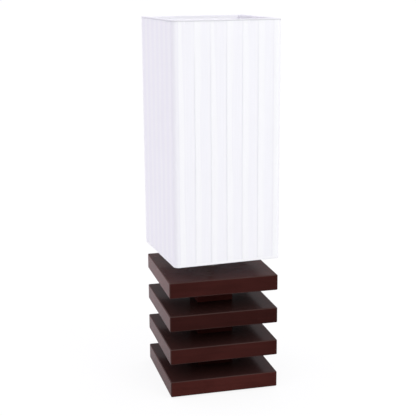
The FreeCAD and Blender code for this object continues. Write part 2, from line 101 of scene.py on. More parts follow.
class StageSettings(bpy.types.PropertyGroup):
    """Camera, floor and light."""

    camera_place: point("Camera place", (-0.3263, -1.2690, 0.5545), "Where the picture is taken from")
    camera_azimuth: degrees("Camera azimuth", -14.294, "Turn of the view about Z, 0 looking along +Y")
    camera_elevation: degrees("Camera elevation", 13.333, "How far the camera looks down")
    camera_roll: degrees("Camera roll", -0.346, "Turn of the picture about the view")
    camera_lens: FloatProperty(
        name="Lens", default=84.0, unit="CAMERA", description="Focal length on a 36 mm sensor")
    floor_radius: length("Floor radius", 30, "How far the floor reaches")
    floor_colour: colour("Floor", (0.60, 0.60, 0.61), "Pale floor that bounces light back at the lamp")
    floor_white: ratio("Floor white", 0.82, "How much of the floor the camera sees as white")
    floor_mirrored: ratio("Mirrored floor", 0.30, "How much of the floor mirrors show as white")
    floor_glow: ratio("White of the floor", 1.06, "Strength of the floor's white", 2)
    sky_strength: ratio("Sky", 1.56, "Even light from above", 5)
    horizon_strength: ratio("Horizon", 0.30, "Weak light from the level of the lamp", 5)
    sky_low_edge: ratio("Horizon's end", 0.2, "Sine of the height at which the sky starts to brighten")
    sky_high_edge: ratio("Sky's start", 0.6, "Sine of the height from which the sky is bright")
    sky_colour: colour("Sky colour", (0.965, 0.940, 1.0), "Colour of the light from the sky")
    background_mirrored: ratio("Mirrored background", 0.28, "How much mirrors show of the white background")
    key_power: FloatProperty(name="Key light", default=16.0, min=0, unit="POWER",
                             description="Large soft lamp in front and above")
    key_colour: colour("Key colour", (0.92, 1.0, 0.83), "Colour of the large soft lamp")
    key_place: point("Key place", (1.24, -1.98, 1.3), "Where the large soft lamp hangs")
    key_size: length("Key size", 1.2, "Width of the large soft lamp")
    fill_power: FloatProperty(name="Fill light", default=5.9, min=0, unit="POWER",
                              description="Small lamp low on the left, behind")
    fill_colour: colour("Fill colour", (0.965, 0.93, 1.0), "Colour of the small lamp")
    fill_place: point("Fill place", (-1.75, 1.0, 0.15), "Where the small lamp stands")
    fill_size: length("Fill size", 0.6, "Width of the small lamp")
    aim_height: length("Aim", 0.25, "Height on the table lamp that both lamps are turned to")


class WoodSettings(bpy.types.PropertyGroup):
    """Stained and lacquered wood of slabs and spacers, with painted highlights, reflections and light in the
    gaps.
    """

    dark: colour("Dark stain", (0.031, 0.0072, 0.0058), "Stain in the dense grain")
    red: colour("Red stain", (0.042, 0.0100, 0.0083), "Stain in the open grain")
    # Greyer colour of top and bottom faces: painted reflection.
    face: colour("Face stain", (0.031, 0.0120, 0.0108), "Painted reflection of top and bottom faces")
    # Lighter colour along the slabs' edges: a painted highlight.
    edge_highlight: colour("Edge highlight", (0.062, 0.040, 0.036), "Wood where the stain is rubbed thin along the edges")
    # The fronts differ from slab to slab. The ends' extra lightness and the top slab's lighter top are
    # painted reflection. The spacers grow lighter from the lowest gap to the highest, which is painted light
    # in the gaps.
    base_slab: stain_and_light_shares("Base slab", (1.60, 2.0, 1.0))
    second_slab: stain_and_light_shares("Second slab", (1.10, 2.0, 1.0))
    third_slab: stain_and_light_shares("Third slab", (0.77, 2.2, 1.0))
    top_slab: stain_and_light_shares("Top slab", (1.06, 2.5, 1.65))
    lower_spacer: stain_and_light_shares("Lower spacer", (0.9, 0.9, 1.0))
    middle_spacer: stain_and_light_shares("Middle spacer", (1.2, 1.2, 1.0))
    upper_spacer: stain_and_light_shares("Upper spacer", (2.0, 2.0, 1.0))
    grain_length: length("Grain length", 0.12, "Length of a grain streak")
    grain_width: length("Grain width", 0.0035, "Width of a grain streak")
    cloud_length: length("Cloud length", 0.045, "Length of a darker patch")
    cloud_width: length("Cloud width", 0.022, "Width of a darker patch")
    pore_shade: ratio("Pores", 0.18, "How much darker the wood is in its pores")
    # Strip of the painted highlight along the edges: full up to the first distance, gone at the second.
    edge_sharp: length("Highlight edge", 0.0003, "Strip along an edge that is fully rubbed")
    edge_soft: length("Highlight edge's end", 0.0016, "Distance from an edge at which the brightening ends")
    roughness: ratio("Roughness", 0.42, "Roughness of the wood under the lacquer")
    lacquer_roughness: ratio("Lacquer roughness", 0.18, "Roughness of the clear lacquer")
    lacquer_ior: FloatProperty(name="Lacquer", default=1.107, min=1, max=2,
                               description="How strongly the clear lacquer mirrors")
    peel_width: length("Lacquer waves", 0.004, "Width of the waves in the lacquer")
    peel_height: length("Waves' height", 0.00002, "Height of the waves in the lacquer")


class ShadeSettings(bpy.types.PropertyGroup):
    """Pleated fabric cover with its tapes."""

    width: length("Width", 0.1485, "Outside over the pleat edges")
    corner_radius: length("Corner radius", 0.0071, "Round corner of the outside")
    turn: degrees("Turn", 4.4, "How far the shade stands turned on the lampholder")
    pleat_count: IntProperty(name="Pleats", default=27, min=4, description="Knife pleats round the shade")
    first_edge: length("First edge", 0.0060, "Run from the middle of the right side to the first fold")
    pleat_depth: length("Pleat depth", 0.00054, "How far a pleat sinks under the next fold")
    least_opening: ratio("Least opening", 0.50, "Share of the pleat depth where the cloth lies tight")
    drift: length("Drift", 0.0007, "How far a fold wanders to the side")
    belly: length("Belly", 0.00012, "How far the cloth swells between two folds")
    pressed: length("Pressed inset", 0.0003, "Inset of the cloth where a tape presses it flat")
    underlap: length("Underlap", 0.0090, "Cloth folded back under each pleat")
    cloth: length("Cloth thickness", 0.00018, "Thickness of the fabric")
    top_tape: length("Top tape", 0.0020, "Height of the tape at the top")
    bottom_tape: length("Bottom tape", 0.0035, "Height of the tape at the bottom")
    tape_depth: length("Tape depth", 0.0060, "Width of the rim that the tape goes round")
    liner_back: length("Liner's back", 0.0017, "Inset of the liner's outer face")
    liner_face: length("Liner's face", 0.0025, "Inset of the liner's inner face")
    liner_roll: length("Liner's roll", 0.0058, "Inset of the roll over the top wire")
    fabric: colour("Fabric", (0.895, 0.897, 0.915), "White fabric")
    thin_fabric: colour("Thin fabric", (0.872, 0.870, 0.905), "White fabric where it lies in one layer")
    # Darker cloth beside each fold: painted shade.
    crease_shade: ratio("Crease", 0.004, "How much darker the cloth is in the crease beside a fold")
    rim: colour("Rim", (0.71, 0.71, 0.74), "Tape at the top edge")
    liner: colour("Liner", (0.940, 0.933, 0.975), "White sheet that lines the shade")
    # The liner's faint emission is painted light, standing in for daylight through the cover.
    painted_glow: ratio("Light through", 0.03, "Daylight that comes through the cover to the liner's inside")


class FittingSettings(bpy.types.PropertyGroup):
    """Pipe, lampholder, switch, shade ring and bulb."""

    pipe_bore: length("Pipe bore", 0.00375, "Radius of the wire way in the pipe")
    pipe_thread: length("Pipe thread", 0.0006, "Depth of the pipe's thread")
    pipe_pitch: length("Pipe pitch", 0.0010, "Rise of the pipe's thread in a turn")
    cap_wall: length("Cap wall", 0.0030, "Wall of the lampholder's cap")
    cap_hub: length("Cap hub", 0.0180, "Width of the cap's lower end")
    cap_bore: length("Cap bore", 0.0101, "Hole for the pipe")
    cap_hub_height: length("Hub height", 0.0080, "Height inside the cap at which its hub ends")
    cap_rim: length("Cap rim", 0.0020, "Straight height under the cap's dome")
    cap_dome: length("Cap dome", 0.0120, "Height at which the cap's dome ends")
    cap_rib: length("Cap ribs' height", 0.0005, "How far the ribs stand out of the cap")
    cap_ribs: IntProperty(name="Cap ribs", default=48, min=8, description="Ribs round the cap")
    collar: length("Collar", 0.0380, "Width of the shell's collar")
    seat: length("Seat", 0.0180, "Height of the shoulder above the shell's lower edge")
    seat_flange: length("Shoulder", 0.0030, "Thickness of the shoulder")
    skirt_root: length("Skirt root", 0.0191, "Radius of the skirt between the threads")
    skirt_crest: length("Skirt crest", 0.0197, "Radius of the skirt over the threads")
    skirt_pitch: length("Skirt pitch", 0.0025, "Rise of the skirt's thread in a turn")
    shell_mouth: length("Mouth", 0.0144, "Radius of the shell's opening at the top")
    shell_bore: length("Shell bore", 0.0155, "Radius round the insulating block")
    shell_foot: length("Shell foot", 0.0173, "Radius round the insulating block's foot")
    ledge: length("Ledge", 0.0050, "Height of the step inside the shell")
    lip: length("Lip", 0.0015, "Thickness of the edge round the mouth")
    switch_hole: length("Switch hole", 0.0060, "Hole for the switch in the collar")
    switch_height: length("Switch height", 0.2270, "Height of the switch above the ground")
    knob_hub: length("Knob hub", 0.0090, "Width of the knob's round part")
    knob_hub_length: length("Hub length", 0.0060, "Length of the knob's round part")
    knob_bore: length("Knob bore", 0.0041, "Hole for the shaft")
    knob_thickness: length("Knob thickness", 0.0045, "Thickness of the knob's grip")
    knob_ribs: IntProperty(name="Knob ribs", default=5, min=1, description="Ribs on each side of the knob")
    knob_rib: length("Knob rib", 0.00045, "Radius of a rib on the knob")
    ring_bore: length("Ring bore", 0.0204, "Radius of the ring between its threads")
    ring_crest: length("Ring crest", 0.01985, "Radius over the ring's threads")
    ring_rib: length("Ring ribs' height", 0.0006, "How far the ribs stand out of the ring")
    ring_ribs: IntProperty(name="Ring ribs", default=48, min=8, description="Ribs round the ring")
    bulb_root: length("Bulb root", 0.0124, "Radius of the bulb's cap between the threads")
    bulb_crest: length("Bulb crest", 0.0131, "Radius of the bulb's cap over the threads")
    bulb_pitch: length("Bulb pitch", 0.0036, "Rise of the bulb's thread in a turn")
    bulb_turns: IntProperty(name="Bulb turns", default=5, min=2, description="Turns of the bulb's thread")
    bulb_cap_bore: length("Bulb cap bore", 0.0114, "Radius inside the bulb's cap")
    bulb_neck: length("Bulb neck", 0.0113, "Radius of the glass in the cap")
    bulb_wall: length("Glass wall", 0.0009, "Thickness of the bulb's glass")
    bulb_shoulder: length("Bulb shoulder", 0.0050, "Height at which the glass starts to swell")
    bulb_swell: length("Bulb swell", 0.0070, "Height over which the glass swells")


class Value:
    """A number that nodes work out, for use in plain arithmetic."""

    def __init__(self, finish, socket):
        self.finish = finish
        self.socket = socket

    def __add__(self, other):
        return self.finish.math("ADD", self, other)

    def __radd__(self, other):
        return self.finish.math("ADD", other, self)

    def __sub__(self, other):
        return self.finish.math("SUBTRACT", self, other)

    def __rsub__(self, other):
        return self.finish.math("SUBTRACT", other, self)

    def __mul__(self, other):
        return self.finish.math("MULTIPLY", self, other)

    def __rmul__(self, other):
        return self.finish.math("MULTIPLY", other, self)

    def __truediv__(self, other):
        return self.finish.math("DIVIDE", self, other)

    def __rtruediv__(self, other):
        return self.finish.math("DIVIDE", other, self)


class Nodes:
    """The nodes of a material or a world."""

    def __init__(self, owner, output):
        owner.use_nodes = True
        self.tree = owner.node_tree
        self.tree.nodes.clear()
        self.output = self.node(output)
        coordinates = self.node("ShaderNodeTexCoord")
        self.place = coordinates.outputs["Object"]
        self.facing = coordinates.outputs["Normal"]

    def node(self, kind, settings=None, sockets=None):
        """Adds a node, sets its settings first and then the values or links of its sockets."""
        made = self.tree.nodes.new(kind)
        for name, value in (settings or {}).items():
            setattr(made, name, value)
        for key, value in (sockets or {}).items():
            self.feed(made.inputs[key], value)
        return made

    def feed(self, socket, value):
        """Links a socket to what works its value out, or sets it."""
        if isinstance(value, Value):
            self.tree.links.new(value.socket, socket)
        elif isinstance(value, bpy.types.NodeSocket):
            self.tree.links.new(value, socket)
        else:
            socket.default_value = value

    def math(self, operation, first, second=0.0):
        """Value from one or two values."""
        made = self.node("ShaderNodeMath", {"operation": operation}, {0: first, 1: second})
        return Value(self, made.outputs[0])

    def stretched(self, lengths, place=None):
        """Coordinates in which a pattern has these lengths along X, Y and Z, in metres."""
        scale = [1 / size for size in lengths]
        made = self.node("ShaderNodeVectorMath", {"operation": "MULTIPLY"},
                         {0: place or self.place, 1: scale})
        return made.outputs[0]

    def noise(self, lengths, detail=2.0, rough=0.5, place=None):
        """Noise between 0 and 1 whose blots have these lengths."""
        made = self.node("ShaderNodeTexNoise", None,
                         {"Vector": self.stretched(lengths, place), "Scale": 1.0, "Detail": detail,
                          "Roughness": rough})
        return Value(self, made.outputs[0])

    def ramp(self, value, low, high):
        """0 below low, 1 above high and smooth between."""
        made = self.node("ShaderNodeMapRange", {"interpolation_type": "SMOOTHSTEP"},
                         {"Value": value, "From Min": low, "From Max": high})
        return Value(self, made.outputs[0])

    def mix(self, factor, first, second):
        """Colour between two colours."""
        made = self.node("ShaderNodeMix", {"data_type": "RGBA"},
                         {0: factor, 6: rgba(first), 7: rgba(second)})
        return made.outputs[2]

    def tinted(self, tone, factor):
        """Colour times a number."""
        made = self.node("ShaderNodeVectorMath", {"operation": "SCALE"}, {0: tone, "Scale": factor})
        return made.outputs[0]

    def bump(self, height, distance, strength=1.0):
        """Normal of a surface whose height between 0 and 1 spans this distance."""
        made = self.node("ShaderNodeBump", None,
                         {"Height": height, "Distance": distance, "Strength": strength})
        return made.outputs["Normal"]

    def parts(self, vector):
        """The three numbers of a vector."""
        made = self.node("ShaderNodeSeparateXYZ", None, {0: vector})
        return [Value(self, socket) for socket in made.outputs]

    def seen(self, by_camera, by_mirrors):
        """How much a ray counts that comes from the camera, or through glass or off a mirror."""
        path = self.node("ShaderNodeLightPath")
        mirrored = self.math("MAXIMUM", Value(self, path.outputs["Is Glossy Ray"]),
                             Value(self, path.outputs["Is Transmission Ray"]))
        return self.math("MAXIMUM", Value(self, path.outputs["Is Camera Ray"]) * by_camera,
                         mirrored * by_mirrors)

    def mixed(self, share, first, second):
        """Gives the output a shader between two shaders."""
        made = self.node("ShaderNodeMixShader", None, {0: share, 1: first.outputs[0], 2: second.outputs[0]})
        self.feed(self.output.inputs["Surface"], made.outputs[0])


class Finish(Nodes):
    """A material and the nodes that make it."""

    def __init__(self, name):
        self.material = bpy.data.materials.new(name)
        super().__init__(self.material, "ShaderNodeOutputMaterial")

    def surface(self, sockets):
        """The material, with these values or links on its Principled shader."""
        shader = self.node("ShaderNodeBsdfPrincipled", None, sockets)
        self.feed(self.output.inputs["Surface"], shader.outputs[0])
        return self.material


def rgba(tone):
    """Colour with its alpha, where the tone is three numbers and not a link."""
    return tone if isinstance(tone, bpy.types.NodeSocket) else (*tone, 1)


def lacquered_wood(settings, node, edge_highlight):
    """Straight-grained wood, stained dark red-brown, under a clear lacquer, with a painted highlight along
    its edges and painted reflections on its ends and tops.
    """
    finish = Finish(node.replace("_", " ") + " wood")
    stain, end_stain_and_reflection, face_stain_and_reflection = getattr(settings, node)
    streak = (settings.grain_length, settings.grain_width, settings.grain_width)
    figure = finish.noise(streak, detail=4, rough=0.55)
    clouds = finish.noise((settings.cloud_length, settings.cloud_width, settings.cloud_width), detail=2)
    pores = finish.noise([size / 6 for size in streak], detail=2)
    tone = finish.mix(finish.ramp(figure * 0.4 + clouds * 0.6, 0.3, 0.7), settings.dark, settings.red)
    facing = finish.parts(finish.facing)
    # Ends and tops take their own strengths and the greyer colour: painted reflection on top of the stain.
    end, face = [finish.ramp(finish.math("ABSOLUTE", part), 0.6, 0.9) for part in (facing[0], facing[2])]
    pore_shade = 1 - settings.pore_shade * finish.ramp(pores, 0.55, 0.75)
    sides = finish.tinted(tone, stain + (end_stain_and_reflection - stain) * end)
    faces = tuple(face_stain_and_reflection * part for part in settings.face)
    stained = finish.tinted(finish.mix(face, sides, faces), pore_shade)
    # Painted highlight: lighter colour along the edges, patchy with the clouds.
    edges = box_edges(finish, node, settings.edge_sharp, settings.edge_soft)
    highlighted = edges * (edge_highlight * (0.5 + 0.5 * clouds))
    peel = finish.noise([settings.peel_width] * 3, detail=1)
    return finish.surface({
        "Base Color": finish.mix(highlighted, stained, settings.edge_highlight),
        "Roughness": settings.roughness + 0.1 * pores,
        "Specular IOR Level": 0.0,
        "Coat Weight": 1.0,
        "Coat Roughness": settings.lacquer_roughness,
        "Coat IOR": settings.lacquer_ior,
        "Normal": finish.bump(peel + 0.15 * pores, settings.peel_height),
    })


def box_edges(finish, node, sharp, soft):
    """1 along the edges of a box-shaped node and 0 elsewhere."""
    low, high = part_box(node)
    near = []
    for spot, start, end in zip(finish.parts(finish.place), low, high):
        depth = finish.math("MINIMUM", spot - start, end - spot)
        near.append(1 - finish.ramp(depth, sharp, soft))
    return near[0] * near[1] + near[1] * near[2] + near[2] * near[0]


def woven(finish, across, along, thread):
    """Height of a plain weave whose threads have this width, from two runs in metres."""
    turn = FULL_TURN / (2 * thread)
    warp = finish.math("SINE", across * turn)
    weft = finish.math("SINE", along * turn)
    return 0.5 + 0.5 * (warp * weft)


def cloth_uv(finish):
    """Runs along and up the flat cloth in metres, and the same as one vector."""
    flat = finish.node("ShaderNodeUVMap", {"uv_map": "cloth"}).outputs[0]
    across, along = finish.parts(flat)[:2]
    return across, along, flat


def cloth_finish(finish, across, along, flat, tone):
    """Surface of white plain-woven cloth with fine slubs and faint streaks, in a given colour."""
    slubs = finish.noise((0.0007, 0.030, 1.0), detail=2, place=flat)
    weft_slubs = finish.noise((0.020, 0.0006, 1.0), detail=2, place=flat)
    weave = woven(finish, across, along, thread=0.00032)
    thickness = weave * 0.6 + slubs * 0.8 + weft_slubs * 0.5
    streaks = finish.noise((0.0020, 0.070, 1.0), detail=2, place=flat)
    return finish.surface({
        "Base Color": finish.tinted(tone, 0.965 + 0.045 * streaks + 0.01 * slubs),
        "Roughness": 0.82 + 0.1 * weave,
        "Specular IOR Level": 0.15,
        "Sheen Weight": 0.03,
        "Sheen Roughness": 0.5,
        "Normal": finish.bump(thickness, 0.00006, 0.6),
    })


def pleated_fabric(settings, pleat_cloth, pitch, height):
    """Cloth that is lighter where a pleat lies three layers thick, with painted shade beside each fold."""
    finish = Finish("pleated fabric")
    across, along, flat = cloth_uv(finish)
    run = finish.math("FRACT", across / pleat_cloth) * pleat_cloth
    patches = finish.noise((0.030, 0.080, 1.0), detail=2, place=flat)
    single = finish.ramp(run, settings.underlap * 0.7, settings.underlap * 1.2)
    layers = (0.55 + 0.9 * patches) * (1 - single)
    strip_start = finish.ramp(run, pitch - 0.0045, pitch - 0.0034)
    strip_end = finish.ramp(run, pitch - 0.0024, pitch - 0.0012)
    strip = strip_start * (1 - strip_end)
    tone = finish.mix(layers + 0.4 * strip, settings.thin_fabric, settings.fabric)
    free = 1 - finish.ramp(along, height - 0.045, height - 0.010)
    # Painted shade beside each fold, weaker near the top.
    near_fold = finish.ramp(run, pitch - 0.0016, pitch - 0.0004)
    crease_shade = settings.crease_shade * (0.25 + 0.75 * free) * near_fold
    return cloth_finish(finish, across, along, flat, finish.tinted(tone, 1 - crease_shade))


def tape_fabric(name, outside, inside, turn_run):
    """Cloth of a tape, of one colour outside and over the edge and another inside."""
    blend = 0.0010
    finish = Finish(name)
    across, along, flat = cloth_uv(finish)
    within = finish.ramp(along, turn_run - blend, turn_run + blend)
    return cloth_finish(finish, across, along, flat, finish.mix(within, outside, inside))


def plain_finish(name, tone, rough, bumps=0.0002, height=0.00001, metal=0.0, variation=0.06, **sockets):
    """Finish with fine unevenness in tone, gloss and surface."""
    patches, uneven = 0.012, 0.08
    finish = Finish(name)
    fine = finish.noise([bumps] * 3, detail=3)
    broad = finish.noise([patches] * 3, detail=2)
    named = {key.replace("_", " "): value for key, value in sockets.items()}
    return finish.surface({
        "Base Color": finish.tinted(tuple(tone), 1 - variation * broad),
        "Metallic": metal,
        "Roughness": rough + uneven * (fine - 0.5) + uneven * (broad - 0.5),
        "Normal": finish.bump(fine, height, 0.5),
        **named,
    })


def dress(names, material):
    """Gives CAD nodes a finish."""
    for name in names:
        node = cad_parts[name]
        for slot in node.material_slots:
            slot.material = material


def start_from(operator, **settings):
    """Adds a primitive with nothing else selected and returns its object."""
    bpy.ops.object.select_all(action="DESELECT")
    operator(**settings)
    return bpy.context.object


def take(piece):
    """Selects one piece and makes it the active one."""
    bpy.ops.object.select_all(action="DESELECT")
    piece.select_set(True)
    bpy.context.view_layer.objects.active = piece


def settle(piece, name, material, body, smooth_angle=40):
    """Finishes a piece: place into its mesh, smooth shading, finish, name and body."""
    take(piece)
    bpy.ops.object.transform_apply(location=True, rotation=True, scale=True)
    bpy.ops.object.shade_smooth_by_angle(angle=math.radians(smooth_angle))
    piece.name = name
    piece.data.name = name
    piece.data.materials.clear()
    piece.data.materials.append(material)
    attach(piece, body)
    return piece


def add_modifier(piece, kind, **settings):
    """Adds a modifier to a piece and applies it."""
    take(piece)
    modifier = piece.modifiers.new(kind.lower(), kind)
    for name, value in settings.items():
        setattr(modifier, name, value)
    bpy.ops.object.modifier_apply(modifier=modifier.name)


def turn_out():
    """Points all faces of the piece in edit mode outwards."""
    bpy.ops.mesh.select_all(action="SELECT")
    bpy.ops.mesh.normals_make_consistent(inside=False)


def drawn(points):
    """Line from (radius, height) points in the XZ plane, drawn point by point; stays in edit mode."""
    piece = start_from(bpy.ops.mesh.primitive_plane_add, size=0.001)
    bpy.ops.object.mode_set(mode="EDIT")
    bpy.ops.mesh.merge(type="CENTER")
    bpy.ops.transform.translate(value=(points[0][0], 0, points[0][1]))
    for before, after in zip(points, points[1:]):
        bpy.ops.mesh.extrude_vertices_move(
            TRANSFORM_OT_translate={"value": (after[0] - before[0], 0, after[1] - before[1])})
    bpy.ops.mesh.select_all(action="SELECT")
    return piece


def lathe(outline, steps):
    """Closed turned body: an outline of (radius, height) points spun about Z."""
    piece = drawn(outline + outline[:1])
    bpy.ops.mesh.spin(steps=steps, angle=FULL_TURN, center=(0, 0, 0), axis=(0, 0, 1))
    bpy.ops.mesh.select_all(action="SELECT")
    bpy.ops.mesh.remove_doubles(threshold=SAME_PLACE)
    bpy.ops.mesh.delete_loose()
    turn_out()
    bpy.ops.object.mode_set(mode="OBJECT")
    return piece


def screw_thread(root, crest, pitch, bottom, turns, rounded=False, steps=36):
    """Closed ridge of a screw thread that runs out at both ends, to lie on or in a turned body."""
    sunk = root - 0.25 * (crest - root)
    if rounded:
        half = pitch * 0.49
        arc_steps = 6
        arc = [math.pi * k / arc_steps for k in range(arc_steps + 1)]
        ridge = [(root + (crest - root) * math.sin(turn), -half * math.cos(turn)) for turn in arc]
    else:
        half = pitch * 0.43
        flat = half * 0.15
        ridge = [(root, -half), (crest, -flat), (crest, flat), (root, half)]
    section = [(sunk, -half)] + ridge + [(sunk, half), (sunk, -half)]
    middle = bottom + pitch / 2
    piece = drawn([(radius, middle + height) for radius, height in section])
    bpy.ops.mesh.remove_doubles(threshold=SAME_PLACE)
    bpy.ops.object.mode_set(mode="OBJECT")
    add_modifier(piece, "SCREW", angle=FULL_TURN, screw_offset=pitch, iterations=turns, steps=steps,
                 render_steps=steps)
    bpy.ops.object.mode_set(mode="EDIT")
    run_out(piece, len(section) - 1, steps // 3, sunk, crest)
    bpy.ops.mesh.select_all(action="SELECT")
    bpy.ops.mesh.fill_holes(sides=0)
    turn_out()
    bpy.ops.object.mode_set(mode="OBJECT")
    return piece


def run_out(piece, corners, rings, sunk, crest):
    """Sinks the last rings at both ends of a thread step by step towards its root."""
    edit = bmesh.from_edit_mesh(piece.data)
    count = len(edit.verts)
    for ring in range(rings):
        reach = sunk + (crest - sunk) * (0.15 + 0.85 * ring / rings)
        edit.verts.ensure_lookup_table()
        bpy.ops.mesh.select_all(action="DESELECT")
        for corner in range(corners):
            edit.verts[ring * corners + corner].select = True
            edit.verts[count - 1 - ring * corners - corner].select = True
        edit.select_flush_mode()
        bmesh.update_edit_mesh(piece.data)
        bpy.ops.transform.resize(value=(reach / crest, reach / crest, 1), center_override=(0, 0, 0))
        edit = bmesh.from_edit_mesh(piece.data)


def select_faces(piece, axis, side):
    """Selects the faces of the piece in edit mode that look along an axis, on one side."""
    edit = bmesh.from_edit_mesh(piece.data)
    bpy.ops.mesh.select_all(action="DESELECT")
    for face in edit.faces:
        face.select = face.normal[axis] * side > 0.9
    bmesh.update_edit_mesh(piece.data)


def rib(radius, reach, bottom, top):
    """Upright rib with tapered ends at a distance from Z, its origin on Z."""
    taper = radius * 0.7
    piece = start_from(bpy.ops.mesh.primitive_cylinder_add, vertices=10, radius=radius,
                       depth=top - bottom - 2 * taper, location=(reach, 0, (bottom + top) / 2))
    bpy.ops.object.transform_apply(location=True, rotation=False, scale=False)
    bpy.ops.object.mode_set(mode="EDIT")
    for side in (1, -1):
        select_faces(piece, 2, side)
        bpy.ops.mesh.extrude_region_move(TRANSFORM_OT_translate={"value": (0, 0, side * taper)})
        bpy.ops.transform.resize(value=(0.5, 0.5, 1))
    bpy.ops.object.mode_set(mode="OBJECT")
    return piece


def copied(piece, turn=0.0, move=(0, 0, 0)):
    """Copy of a piece with its own mesh, turned about Z and moved."""
    take(piece)
    bpy.ops.object.duplicate(linked=False)
    copy = bpy.context.object
    copy.rotation_euler.z += turn
    copy.location += Vector(move)
    return copy


def ribs_round(radius, reach, bottom, top, count):
    """Ribs at even steps round Z."""
    first = rib(radius, reach, bottom, top)
    return [first] + [copied(first, FULL_TURN * k / count) for k in range(1, count)]


def joined(pieces):
    """One object from several."""
    take(pieces[0])
    for piece in pieces:
        piece.select_set(True)
    bpy.ops.object.join()
    return pieces[0]


def square_sweep(section, half, radius, turn, corner_steps=8):
    """Closed wall round a square with round corners, from (inset, height) points of its section."""
    start_inset, start_height = section[0]
    piece = start_from(bpy.ops.mesh.primitive_plane_add, size=2 * (half - start_inset),
                       location=(0, 0, start_height))
    bpy.ops.object.mode_set(mode="EDIT")
    bpy.ops.mesh.bevel(offset=radius - start_inset, segments=corner_steps, affect="VERTICES")
    bpy.ops.mesh.delete(type="ONLY_FACE")
    bpy.ops.mesh.select_all(action="SELECT")
    centre = half - radius
    for (inset, height), (next_inset, next_height) in zip(section, section[1:]):
        bpy.ops.mesh.extrude_edges_move(TRANSFORM_OT_translate={"value": (0, 0, next_height - height)})
        if next_inset != inset:
            draw_in(piece, centre, (radius - next_inset) / (radius - inset))
    bpy.ops.mesh.select_all(action="DESELECT")
    bpy.ops.mesh.select_non_manifold(extend=False, use_wire=False, use_boundary=True,
                                     use_multi_face=False, use_non_contiguous=False, use_verts=False)
    bpy.ops.mesh.bridge_edge_loops()
    turn_out()
    bpy.ops.transform.rotate(value=-turn, orient_axis="Z", center_override=(0, 0, 0))
    bpy.ops.object.mode_set(mode="OBJECT")
    return piece


def draw_in(piece, centre, factor):
    """Moves the selected loop in or out, by shrinking each round corner about its own centre."""
    edit = bmesh.from_edit_mesh(piece.data)
    loop = [corner for corner in edit.verts if corner.select]
    for side_x in (1, -1):
        for side_y in (1, -1):
            bpy.ops.mesh.select_all(action="DESELECT")
            for corner in loop:
                corner.select = corner.co.x * side_x > 0 and corner.co.y * side_y > 0
            edit.select_flush_mode()
            bmesh.update_edit_mesh(piece.data)
            bpy.ops.transform.resize(value=(factor, factor, 1),
                                     center_override=(side_x * centre, side_y * centre, 0))
    for corner in loop:
        corner.select = True
    edit.select_flush_mode()
    bmesh.update_edit_mesh(piece.data)


def wall_place(settings, run, inset):
    """Point above the floor line of the shade's wall: a run along its outside and a step inwards."""
    half = settings.width / 2
    radius = settings.corner_radius
    flat = 2 * (half - radius)
    corner = radius * QUARTER_TURN
    quarter, rest = divmod(run, flat + corner)
    if rest <= flat:
        place = Vector((half - inset, rest - flat / 2))
    else:
        angle = (rest - flat) / radius
        place = Vector((flat / 2 + (radius - inset) * math.cos(angle),
                        flat / 2 + (radius - inset) * math.sin(angle)))
    return Matrix.Rotation(QUARTER_TURN * quarter + settings.turn, 2) @ place


def tightness(settings, run):
    """How far the pleats may open: less near a corner, where the cloth is pulled tight."""
    tight, free_from = 0.3, 0.008
    flat = settings.width - 2 * settings.corner_radius
    rest = run % (wall_length(settings) / 4)
    gap = max(0, min(rest, flat - rest))
    return tight + (1 - tight) * min(1, gap / free_from)


def wall_length(settings):
    """Run along the shade's outside, once round."""
    return 8 * (settings.width / 2 - settings.corner_radius) + FULL_TURN * settings.corner_radius


def eased(share):
    """Share from 0 to 1 with a soft start and end."""
    return share * share * (3 - 2 * share)


def pleat_path(settings):
    """The cloth's way round the shade: (pleat, share of the pitch, extra run, inset)."""
    pitch = wall_length(settings) / settings.pleat_count
    step = 0.0016
    fold = settings.cloth * 1.1
    deep = settings.pleat_depth
    middle = deep / 2
    edge = 0.06 * deep
    surface_steps = int(pitch / step)
    under_steps = int(settings.underlap / step)
    path = []
    for pleat in range(settings.pleat_count):
        for k in range(surface_steps + 1):
            share = k / surface_steps
            path.append((pleat, share, fold * (1 - share), edge + (deep - edge) * share ** 0.8))
        for k in range(1, under_steps + 1):
            path.append((pleat, 1, settings.underlap * k / under_steps, deep))
        path.append((pleat, 1, settings.underlap + fold, deep - middle / 2))
        for k in range(under_steps + 1):
            path.append((pleat, 1, settings.underlap * (1 - k / under_steps) + fold / 2, middle))
        path.append((pleat, 1, -fold / 4, middle / 2))
    return path


def cloth_tube(name, columns, rows, place_of, thickness):
    """Closed tube of cloth from a grid of places, with its own flat map, thickened."""
    edit = bmesh.new()
    spots = [[place_of(column, row) for column in range(columns + 1)] for row in range(rows)]
    grid = [[edit.verts.new(spot[0]) for spot in line[:-1]] for line in spots]
    flat_map = edit.loops.layers.uv.new("cloth")
    for row in range(rows - 1):
        for column in range(columns):
            following = (column + 1) % columns
            face = edit.faces.new((grid[row][column], grid[row][following],
                                   grid[row + 1][following], grid[row + 1][column]))
            corners = (spots[row][column], spots[row][column + 1],
                       spots[row + 1][column + 1], spots[row + 1][column])
            for loop, corner in zip(face.loops, corners):
                loop[flat_map].uv = corner[1]
            face.smooth = True
    mesh = bpy.data.meshes.new(name)
    edit.to_mesh(mesh)
    edit.free()
    piece = bpy.data.objects.new(name, mesh)
    bpy.context.scene.collection.objects.link(piece)
    add_modifier(piece, "SOLIDIFY", thickness=thickness, offset=0)
    return piece


